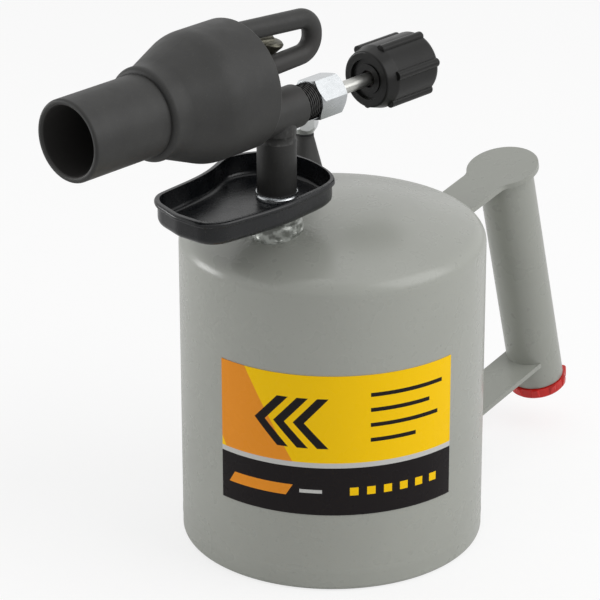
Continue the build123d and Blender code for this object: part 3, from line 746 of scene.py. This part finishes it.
def stained_plate(name):
    """Zinc plate that heat and flux stained: olive grey, dull, with soft lighter streaks."""
    finish = Finish(name, linear("#57554B"), roughness=0.42, metallic=0.75)
    finish.relief(finish.lumps(1.4, detail=2.0), depth_mm=0.02)
    finish.vary("Roughness", finish.lumps(2.0), low=0.34, high=0.52)
    streaks = finish.lumps(2.6, stretch=(0.4, 2, 2))
    finish.tint(streaks, linear("#7A786C"), start=0.5, full=0.65, amount=0.8)
    return finish


def vitreous_enamel(name):
    """Vitreous enamel on pressed steel: a thick glassy black that pulls smooth over the edges."""
    colours = bpy.context.scene.lamp_colours
    finish = Finish(name, colours.tray, roughness=0.24, IOR=1.52, Specular_IOR_Level=0.34)
    finish.relief(finish.lumps(5.0, detail=1.0), depth_mm=0.05)
    finish.vary("Roughness", finish.lumps(6.0, detail=3.0), low=0.2, high=0.34)
    specks = finish.lumps(0.7, detail=0.0)
    finish.tint(specks, linear("#4A4945"), start=0.76, full=0.82, amount=0.3)
    return finish


def phenolic(name):
    """Moulded phenolic: a hard black resin with a satin skin from the mould, whose grain is
    drawn coarser than the real one to show."""
    colours = bpy.context.scene.lamp_colours
    finish = Finish(name, colours.knob, roughness=0.32, IOR=1.55, Specular_IOR_Level=0.18)
    finish.relief(finish.lumps(0.8, detail=2.0), depth_mm=0.006)
    finish.vary("Roughness", finish.lumps(3.0), low=0.27, high=0.38)
    finish.tint(finish.lumps(7.0), linear("#202020"), start=0.4, full=0.7, amount=0.5)
    return finish


def red_polypropylene(name):
    """Moulded polypropylene: a saturated red with a soft waxy shine."""
    colours = bpy.context.scene.lamp_colours
    finish = Finish(name, colours.pump_knob, roughness=0.32, IOR=1.49)
    finish.relief(finish.lumps(1.1), depth_mm=0.01)
    finish.vary("Roughness", finish.lumps(3.5), low=0.26, high=0.4)
    finish.tint(finish.lumps(6.0), linear("#B2160F"), start=0.4, full=0.7, amount=0.5)
    return finish


def turned_metal(name, hex_shade, roughness, rings):
    """Turned metal: fine rings from the lathe tool, drawn coarser than the real ones to show."""
    finish = Finish(name, linear(hex_shade), roughness=roughness, metallic=1.0)
    finish.relief(finish.lumps(0.8, detail=1.0, stretch=rings), depth_mm=0.008)
    finish.vary("Roughness", finish.lumps(2.0), low=roughness - 0.06, high=roughness + 0.1)
    return finish


def polished_steel(name):
    """Ball-bearing steel: a mirror with the faintest haze."""
    finish = Finish(name, linear("#C6C8CA"), roughness=0.08, metallic=1.0)
    finish.vary("Roughness", finish.lumps(1.5), low=0.05, high=0.12)
    return finish


def soft_part(name, hex_shade, grain_mm, roughness=0.75):
    """Rubber, fibre, cord or leather: a dull face with a grain of its own, drawn coarser than
    the real one to show."""
    finish = Finish(name, linear(hex_shade), roughness=roughness, IOR=1.5)
    grain = finish.lumps(grain_mm, detail=4.0)
    finish.relief(grain, depth_mm=0.05)
    finish.vary("Roughness", grain, low=roughness - 0.1, high=roughness + 0.12)
    return finish


def scaled_iron(name, hex_shade):
    """Cast or heat-blued iron: scale in patches over a dull grey."""
    finish = Finish(name, linear(hex_shade), roughness=0.55, metallic=0.55)
    finish.relief(finish.lumps(0.9, detail=3.0), depth_mm=0.06)
    scale = finish.lumps(5.0, detail=4.0)
    finish.tint(scale, linear("#2C2724"), start=0.42, full=0.6)
    finish.vary("Roughness", scale, low=0.42, high=0.7, start=0.42, full=0.6)
    return finish


def printed_vinyl(name, colour):
    """Printed vinyl film: flat inks under a clear gloss that waves a little with the glue."""
    finish = Finish(name, colour, roughness=0.28, IOR=1.5, Specular_IOR_Level=0.12)
    finish.relief(finish.lumps(20.0, detail=0.0), depth_mm=0.05)
    finish.vary("Roughness", finish.lumps(8.0), low=0.22, high=0.34)
    return finish


def label_blocks():
    """The label's own design: ink, middle, half width and half height in millimetres, and
    slant."""
    yield "wedge", (-40, 38), (14, 18), 0.55
    yield "band", (0, BAND_MM), (PAST_ENDS_MM, BAND_MM), 0
    yield "silver", (0, 20.2), (PAST_ENDS_MM, 1.0), 0
    # Three chevrons, each of two slanted strokes
    for step in range(3):
        start = -25 + 7.5 * step
        yield "band", (start, 42), (2.1, 5), -0.9
        yield "band", (start, 32), (2.1, 5), 0.9
    # Four bars that start at one margin
    for step, length in enumerate((15, 12, 14, 9)):
        yield "band", (12 + length, 48 - 6 * step), (length, 0.8), 0
    # Six squares along the dark band
    for step in range(6):
        yield "field", (6 + 6.4 * step, BAND_MM), (1.6, 1.6), 0
    yield "wedge", (-30, BAND_MM), (12, 2.2), -0.6
    yield "silver", (-10, BAND_MM), (4.2, 0.7), 0


def lay_block(finish, across, up, colour, centre, half, slant):
    """A rectangle or a slanted block of colour on the label, in millimetres."""
    tree = finish.tree
    leaning = {0: up, 1: slant, 2: across}
    shifted = add_node(tree, "ShaderNodeMath", leaning, operation="MULTIPLY_ADD").outputs[0]
    wide = {0: shifted, 1: centre[0] + slant * centre[1], 2: half[0]}
    tall = {0: up, 1: centre[1], 2: half[1]}
    inside = {}
    for at, span in enumerate((wide, tall)):
        inside[at] = add_node(tree, "ShaderNodeMath", span, operation="COMPARE").outputs[0]
    block = add_node(tree, "ShaderNodeMath", inside, operation="MULTIPLY")
    finish.tint(block.outputs[0], colour)


# Pieces


class LAMP_OT_tank(bpy.types.Operator):
    """Powder-coats the tank, roughens it round the riser and draws its foot sharper"""

    bl_idname = "lamp.tank"
    bl_label = "Tank"

    def execute(self, context):
        details = context.scene.lamp_details
        colour = context.scene.lamp_colours.tank
        coat = powder_coat("Powder coat, sprayed grey", colour)
        paint("tank_paint", coat)
        spatter = details.spatter_reach
        dress("tank_shell", spattered_coat("Powder coat, spattered by brazing", colour, spatter))

        slices = [FOOT_SLICE_MM * step * MM for step in range(1, FOOT_SLICES + 1)]
        bm = sliced_copy("tank_bottom", Z_AXIS, slices)
        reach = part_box("tank_shell")[1].x
        start = reach - details.foot_corner
        for vertex in bm.verts:
            flat = Vector((vertex.co.x, vertex.co.y, 0))
            if vertex.co.z <= details.foot_corner and flat.length >= start:
                inset = (reach - flat.length) * details.foot_sharpness
                height = Vector((0, 0, vertex.co.z * details.foot_sharpness))
                vertex.co = flat.normalized() * (reach - inset) + height
            elif flat.length > reach:
                proud = (flat.length - reach) * details.seam_share
                vertex.co = flat.normalized() * (reach + proud) + Vector((0, 0, vertex.co.z))
        foot = new_piece("foot_ring", bm, coat)
        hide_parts("tank_bottom")
        return {"FINISHED"}


class LAMP_OT_handle(bpy.types.Operator):
    """Powder-coats the handle and its brackets, and welds the lower bracket to the tank"""

    bl_idname = "lamp.handle"
    bl_label = "Handle and brackets"

    def execute(self, context):
        details = context.scene.lamp_details
        # The handle and brackets take a darker copy of the tank's coat, as painted shade
        coat = powder_coat(
            "Powder coat, sprayed grey on the handle", context.scene.lamp_colours.handle
        )
        paint("handle_paint", coat)
        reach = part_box("tank_shell")[1].x / MM
        plate_low, plate_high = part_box("handle_lower_bracket")
        half = half_angle(plate_high.y / MM, reach)
        for side, level in enumerate(BEAD_LEVELS_MM):
            centre = (0, 0, plate_low.z + level * MM)
            bm = spun_bead(
                details.bead_radius / MM,
                reach,
                2 * half,
                BEAD_STEPS,
                centre,
                start=(cos(-half), sin(-half), 0),
            )
            ripple_bead(bm, centre, reach)
            new_piece(f"lower_bracket_bead_{side}", bm, coat)
        return {"FINISHED"}


class LAMP_OT_boss(bpy.types.Operator):
    """Brazes the riser's boss on the crown with a lumpy ring of bright metal"""

    bl_idname = "lamp.boss"
    bl_label = "Boss and brazing"

    def execute(self, context):
        details = context.scene.lamp_details
        bright = braze_metal("Braze, run and flux-burnt")
        paint("boss_zinc", bright)
        low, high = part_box("riser_boss")
        centre = (low + high) / 2
        reach = (high.x - low.x) / 2 - details.braze_radius * BRAZE_SET_IN_SHARE
        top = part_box("tank_shell")[1].z
        radius = details.crown_radius
        foot = Vector((centre.x, centre.y, 0))
        bm = spun_bead(details.braze_radius / MM, reach / MM, FULL_TURN, BRAZE_STEPS, foot)
        for vertex in bm.verts:
            out = Vector((vertex.co.x - centre.x, vertex.co.y, 0))
            core = foot + out.normalized() * reach
            lump = noise.noise(vertex.co / LUMP_SIZE) * details.braze_lump
            away = (vertex.co - core).normalized()
            vertex.co += away * lump
            from_axis = Vector((vertex.co.x, vertex.co.y, 0)).length
            vertex.co.z += top - radius + sqrt(radius**2 - from_axis**2) + details.braze_radius / 2
        new_piece("boss_braze", bm, bright)
        return {"FINISHED"}


class LAMP_OT_label(bpy.types.Operator):
    """Prints plain blocks of colour on the label"""

    bl_idname = "lamp.label"
    bl_label = "Label"

    def execute(self, context):
        colours = context.scene.lamp_colours
        finish = printed_vinyl("Printed vinyl, glossy", colours.label_field)
        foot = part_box("label")[0].z / MM
        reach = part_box("tank_shell")[1].x / MM
        sheet = frame["nodes"]["label"].data.vertices
        middle = atan2(sum(v.co.y for v in sheet), sum(v.co.x for v in sheet))
        tree = finish.tree
        facing = {"Vector": finish.place, "Rotation": (0, 0, -middle)}
        turned = add_node(tree, "ShaderNodeMapping", facing)
        split = add_node(tree, "ShaderNodeSeparateXYZ", {0: turned.outputs[0]})
        sides = {0: split.outputs["Y"], 1: split.outputs["X"]}
        angle = add_node(tree, "ShaderNodeMath", sides, operation="ARCTAN2")
        arc = {0: angle.outputs[0], 1: reach}
        across = add_node(tree, "ShaderNodeMath", arc, operation="MULTIPLY").outputs[0]
        height = {0: split.outputs["Z"], 1: 1 / MM, 2: -foot}
        up = add_node(tree, "ShaderNodeMath", height, operation="MULTIPLY_ADD").outputs[0]
        inks = {
            "field": colours.label_field,
            "band": colours.label_band,
            "wedge": colours.label_wedge,
            "silver": linear("#C9C9C6"),
        }
        for ink, centre, half, slant in label_blocks():
            lay_block(finish, across, up, inks[ink], centre, half, slant)
        paint("label_print", finish)
        return {"FINISHED"}


class LAMP_OT_burner(bpy.types.Operator):
    """Coats the burner, riser and vaporizer, soots the mouth and finishes the parts inside"""

    bl_idname = "lamp.burner"
    bl_label = "Burner"

    def execute(self, context):
        paint("burner_black", sooted_coat("Heat-proof paint, sprayed charcoal"))
        paint("braze_black", rough_coat("Heat-proof paint over brazing"))
        paint("burner_steel", scaled_iron("Heat-blued steel", "#5B554F"))
        paint("ring_iron", scaled_iron("Cast iron with scale", "#3E3A37"))
        paint("brass", turned_metal("Brass, turned", "#C9A45A", 0.26, RINGS_ROUND_X))
        paint("copper", turned_metal("Copper pipe, drawn", "#B8734A", 0.3, RINGS_ROUND_Z))
        return {"FINISHED"}


class LAMP_OT_tray(bpy.types.Operator):
    """Enamels the preheating tray, draws it out of symmetry and turns it a little"""

    bl_idname = "lamp.tray"
    bl_label = "Preheating tray"

    def execute(self, context):
        details = context.scene.lamp_details
        enamel = vitreous_enamel("Vitreous enamel, black")
        paint("tray_enamel", enamel)
        low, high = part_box("preheat_tray")
        width = high.x - low.x
        slices = [low.x + width * step / TRAY_SLICES for step in range(1, TRAY_SLICES)]
        bm = sliced_copy("preheat_tray", X_AXIS, slices)
        riser_low, riser_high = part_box("riser_tube")
        centre = (riser_low + riser_high) / 2
        reach = centre.x - low.x
        nut_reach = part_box("tray_nut")[1].x - centre.x
        for vertex in bm.verts:
            along = (centre.x - vertex.co.x) / reach
            out = min(max(along, 0), 1)
            if vertex.co.y > 0:
                share = details.tray_far_reach * (1 - out)
                share -= details.tray_waist * sin(pi * out**WAIST_POWER) ** 2
            else:
                share = details.tray_near_reach * (1 - out)
                share += details.tray_bulge * sin(pi * out**BULGE_POWER) ** 2
            side = min(max(vertex.co.y / high.y, -1), 1)
            vertex.co.y *= 1 + share
            if along > 0:
                skew = details.tray_skew * side * out**2
                vertex.co.x -= out * reach * (details.tray_stretch - skew)
            elif vertex.co.x > centre.x + nut_reach:
                free = vertex.co.x - centre.x - nut_reach
                beyond = free / (high.x - centre.x - nut_reach)
                vertex.co.x -= free * beyond * (1 - details.tray_back_reach) * (1 - side) / 2
                if side < 0:
                    vertex.co.y *= 1 - details.tray_back_round * beyond
        turn = Matrix.Rotation(details.tray_turn, 3, "Z")
        bmesh.ops.rotate(bm, verts=bm.verts, cent=centre, matrix=turn)
        tray = new_piece("tray_pressing", bm, enamel)
        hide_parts("preheat_tray")
        return {"FINISHED"}


class LAMP_OT_valve(bpy.types.Operator):
    """Plates the nuts and the knob's screw, turns the spindle and packs the gland"""

    bl_idname = "lamp.valve"
    bl_label = "Valve, gland and nuts"

    def execute(self, context):
        paint("zinc", zinc_plate("Bright zinc plate"))
        dress("valve_spindle", turned_metal("Steel stem, turned", "#BEBEBA", 0.3, RINGS_ROUND_X))
        paint("graphite", soft_part("Graphited cord, plaited", "#2B2C2E", grain_mm=0.8))
        paint("fibre", soft_part("Vulcanised fibre, smoked", "#231C19", grain_mm=0.6))
        paint("screw_steel", zinc_plate("Screw steel, zinc-plated", "#B4B7B9"))
        return {"FINISHED"}


class LAMP_OT_plug(bpy.types.Operator):
    """Turns the cleaning plug with a flared head, and stains it"""

    bl_idname = "lamp.plug"
    bl_label = "Cleaning plug"

    def execute(self, context):
        details = context.scene.lamp_details
        low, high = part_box("cleaning_plug")
        shank = details.plug_shank_radius
        foot = Vector((low.x + shank, high.y - shank, high.z - shank))
        head = Vector(details.plug_head)
        run = head - foot
        bm = bmesh.new()
        across = run.to_track_quat("Z", "Y").to_matrix().to_4x4()
        bmesh.ops.create_cone(
            bm,
            cap_ends=True,
            segments=SHANK_SIDES,
            radius1=shank,
            radius2=shank,
            depth=run.length,
            matrix=Matrix.Translation(foot + run / 2) @ across,
        )
        lean = Matrix.Rotation(details.plug_lean, 4, Vector(LEAN_AXIS))
        place = Matrix.Translation(head) @ lean
        wide = details.plug_head_radius
        outline = [place @ Vector((wide * out, 0, wide * up)) for out, up in HEAD_OUTLINE]
        upright = place.to_3x3() @ Vector(Z_AXIS)
        turn_outline(bm, outline, head, upright, HEAD_STEPS, closed=False)
        stained = stained_plate("Zinc plate, stained by heat")
        plug = new_piece("cleaning_screw", bm, stained)
        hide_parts("cleaning_plug")
        return {"FINISHED"}


class LAMP_OT_knob(bpy.types.Operator):
    """Moulds the valve's knob, and lays the floor of the recess round its hub"""

    bl_idname = "lamp.knob"
    bl_label = "Valve knob"

    def execute(self, context):
        details = context.scene.lamp_details
        moulded = phenolic("Phenolic, moulded black")
        paint("knob_black", moulded)
        low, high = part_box("valve_knob")
        middle = (low + high) / 2
        front = low.x + details.recess_depth
        back = front + details.recess_wall
        inner, outer = details.hub_radius, details.recess_radius
        section = ((front, inner), (front, outer), (back, outer), (back, inner))
        bm = bmesh.new()
        outline = [(place, 0, reach) for place, reach in section]
        turn_outline(bm, outline, (0, 0, 0), X_AXIS, RECESS_STEPS, closed=True)
        bmesh.ops.translate(bm, verts=bm.verts, vec=(0, middle.y, middle.z))
        new_piece("knob_recess_ring", bm, moulded, "valve_knob")
        return {"FINISHED"}


class LAMP_OT_thread(bpy.types.Operator):
    """Cuts the thread on the valve's neck that its gland is screwed on"""

    bl_idname = "lamp.thread"
    bl_label = "Gland thread"

    def execute(self, context):
        details = context.scene.lamp_details
        body_low, body_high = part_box("valve_body")
        nut_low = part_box("gland_nut")[0]
        centre = (body_low + body_high) / 2
        pitch = details.thread_pitch
        start = nut_low.x - details.neck_length + pitch
        turns = (details.neck_length - pitch) / pitch
        side = pitch * THREAD_SIDE_SHARE
        root = details.neck_radius - THREAD_SUNK
        crest = details.neck_radius + details.thread_height
        bm = bmesh.new()
        section = ((start - side, root), (start, crest), (start + side, root))
        bm.faces.new([bm.verts.new((place, 0, reach)) for place, reach in section])
        bmesh.ops.spin(
            bm,
            geom=everything(bm),
            cent=(0, 0, 0),
            axis=X_AXIS,
            dvec=(pitch * turns / THREAD_STEPS, 0, 0),
            angle=FULL_TURN * turns,
            steps=THREAD_STEPS,
            use_merge=False,
        )
        bmesh.ops.translate(bm, verts=bm.verts, vec=(0, centre.y, centre.z))
        # The thread's coat is drawn near black, darker than the rest of the burner's coat, as
        # painted shade in the groove between the valve body and its gland nut
        coat = heatproof_coat("Heat-proof paint on a thread", "#101010", gloss=0.05)
        new_piece("neck_thread", bm, coat)
        return {"FINISHED"}


class LAMP_OT_filler(bpy.types.Operator):
    """Coats the filler's neck, plates its plug and finishes its gasket"""

    bl_idname = "lamp.filler"
    bl_label = "Filler"

    def execute(self, context):
        paint("cone_coat", heatproof_coat("Heat-proof paint on the filler", "#414140"))
        # The plug's zinc is drawn paler than the other zinc plate, as painted highlight, to make
        # up for the dark valve body that its facets reflect
        plated = zinc_plate("Bright zinc plate on the plug", "#D8DADA", 0.3, 0.42, STREAKS_ALONG_Z)
        paint("plug_zinc", plated)
        paint("rubber_black", soft_part("Nitrile rubber, moulded", "#1F1F20", grain_mm=0.7))
        return {"FINISHED"}


class LAMP_OT_pump(bpy.types.Operator):
    """Finishes the pump, its check valve and its red knob"""

    bl_idname = "lamp.pump"
    bl_label = "Pump"

    def execute(self, context):
        paint("knob_red", red_polypropylene("Polypropylene, moulded red"))
        paint("rod_steel", turned_metal("Steel rod, drawn", "#B9BBBD", 0.24, RINGS_ROUND_Z))
        paint("pump_alloy", turned_metal("Aluminium, turned", "#C2C5C8", 0.34, RINGS_ROUND_Z))
        paint("ball_steel", polished_steel("Ball steel, polished"))
        paint("cup_leather", soft_part("Leather, oiled", "#5E3B22", grain_mm=0.5, roughness=0.6))
        return {"FINISHED"}


# Studio


def set_camera(context, studio, ahead, right):
    """Stands the camera where the photograph was taken from."""
    tilt, roll = studio.camera_tilt, studio.camera_roll
    gaze = ahead * cos(tilt) - Vector((0, 0, sin(tilt)))
    above = ahead * sin(tilt) + Vector((0, 0, cos(tilt)))
    across = right * cos(roll) + above * sin(roll)
    upward = above * cos(roll) - right * sin(roll)
    camera = bpy.data.objects.new("Camera", bpy.data.cameras.new("Camera"))
    camera.data.lens = studio.camera_lens
    camera.data.clip_end = CAMERA_SIGHT
    turn = Matrix((across, upward, -gaze)).transposed().to_4x4()
    camera.matrix_world = Matrix.Translation(studio.camera_place) @ turn
    context.scene.collection.objects.link(camera)
    context.scene.camera = camera


def hang_lamps(context, studio, ahead, right):
    """Hangs the soft lamps round the object, each turned to its middle."""
    for name, power, size, (side, out, up) in LAMPS:
        place = right * side + ahead * out + Vector((0, 0, up))
        light = bpy.data.lights.new(name, "AREA")
        light.energy = getattr(studio, power)
        light.size = size
        lamp = bpy.data.objects.new(name, light)
        aim = (-place).to_track_quat("-Z", "Y").to_matrix().to_4x4()
        lamp.matrix_world = Matrix.Translation(Vector(LAMP_AIM) + place) @ aim
        context.scene.collection.objects.link(lamp)


def light_world(context, studio):
    """White all round: faint light for the object, full white to the camera and in gloss."""
    world = bpy.data.worlds.new("Studio")
    context.scene.world = world
    world.use_nodes = True
    tree = world.node_tree
    tree.nodes.clear()
    path = add_node(tree, "ShaderNodeLightPath")
    shown = path.outputs["Is Camera Ray"]
    for ray in ("Is Glossy Ray", "Is Transmission Ray"):
        either = {0: shown, 1: path.outputs[ray]}
        shown = add_node(tree, "ShaderNodeMath", either, operation="MAXIMUM").outputs[0]
    levels = {"Value": shown, "To Min": studio.ambient, "To Max": studio.backdrop}
    strength = add_node(tree, "ShaderNodeMapRange", levels)
    white = {"Color": (1, 1, 1, 1), "Strength": strength.outputs["Result"]}
    background = add_node(tree, "ShaderNodeBackground", white)
    add_node(tree, "ShaderNodeOutputWorld", {"Surface": background.outputs[0]})


def matt_board(name, studio):
    """Matt white board: evenly pale, and to the camera as white as the backdrop but for the
    object's shadow."""
    material = bpy.data.materials.new(name)
    material.use_nodes = True
    tree = material.node_tree
    tree.nodes.clear()
    seen = add_node(tree, "ShaderNodeLightPath").outputs["Is Camera Ray"]
    whites = {"Value": seen, "To Min": BOARD_WHITE, "To Max": BOARD_WHITE * studio.floor_shade}
    shade = add_node(tree, "ShaderNodeMapRange", whites)
    board = add_node(tree, "ShaderNodeBsdfDiffuse", {"Color": shade.outputs["Result"]})
    lifted = {0: seen, 1: studio.floor_lift}
    lift = add_node(tree, "ShaderNodeMath", lifted, operation="MULTIPLY")
    glow = add_node(tree, "ShaderNodeEmission", {"Strength": lift.outputs[0]})
    both = add_node(tree, "ShaderNodeAddShader", {0: board.outputs[0], 1: glow.outputs[0]})
    add_node(tree, "ShaderNodeOutputMaterial", {"Surface": both.outputs[0]})
    return material


def lay_floor(context, studio):
    """Lays the board that the lamp stands on."""
    bm = bmesh.new()
    bmesh.ops.create_grid(bm, x_segments=1, y_segments=1, size=FLOOR_HALF_WIDTH)
    mesh = bpy.data.meshes.new("Floor")
    bm.to_mesh(mesh)
    bm.free()
    mesh.materials.append(matt_board("Matt board, white", studio))
    floor = bpy.data.objects.new("Floor", mesh)
    context.scene.collection.objects.link(floor)


class LAMP_OT_studio(bpy.types.Operator):
    """Sets the camera, the soft lamps and the white floor"""

    bl_idname = "lamp.studio"
    bl_label = "Studio"

    def execute(self, context):
        studio = context.scene.lamp_studio
        heading = studio.camera_heading
        ahead = Vector((sin(heading), cos(heading), 0))
        right = Vector((cos(heading), -sin(heading), 0))
        set_camera(context, studio, ahead, right)
        hang_lamps(context, studio, ahead, right)
        light_world(context, studio)
        lay_floor(context, studio)
        context.scene.view_settings.view_transform = "Standard"
        return {"FINISHED"}


PIECE_OPERATORS = (
    LAMP_OT_tank,
    LAMP_OT_handle,
    LAMP_OT_boss,
    LAMP_OT_label,
    LAMP_OT_burner,
    LAMP_OT_tray,
    LAMP_OT_valve,
    LAMP_OT_plug,
    LAMP_OT_knob,
    LAMP_OT_thread,
    LAMP_OT_filler,
    LAMP_OT_pump,
    LAMP_OT_studio,
)


GROUPS = {
    "lamp_colours": LampColours,
    "lamp_details": LampDetails,
    "lamp_studio": LampStudio,
}


class LAMP_PT_panel(bpy.types.Panel):
    """Sidebar panel with the lamp's sizes, colours and pieces"""

    bl_label = "Blow lamp"
    bl_idname = "LAMP_PT_panel"
    bl_space_type = "VIEW_3D"
    bl_region_type = "UI"
    bl_category = "Blow lamp"

    def draw(self, context):
        for group in GROUPS:
            settings = getattr(context.scene, group)
            box = self.layout.box()
            for name in settings.__annotations__:
                box.prop(settings, name)
        for operator in PIECE_OPERATORS:
            self.layout.operator(operator.bl_idname)


def register():
    for group in GROUPS.values():
        bpy.utils.register_class(group)
    for name, group in GROUPS.items():
        setattr(bpy.types.Scene, name, PointerProperty(type=group))
    for operator in PIECE_OPERATORS:
        bpy.utils.register_class(operator)
    bpy.utils.register_class(LAMP_PT_panel)


def unregister():
    bpy.utils.unregister_class(LAMP_PT_panel)
    for operator in reversed(PIECE_OPERATORS):
        bpy.utils.unregister_class(operator)
    for name, group in GROUPS.items():
        delattr(bpy.types.Scene, name)
        bpy.utils.unregister_class(group)


def main():
    """Registers the add-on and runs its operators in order."""
    register()
    for operator in PIECE_OPERATORS:
        group, name = operator.bl_idname.split(".")
        getattr(getattr(bpy.ops, group), name)()


if __name__ == "__main__":
    main()
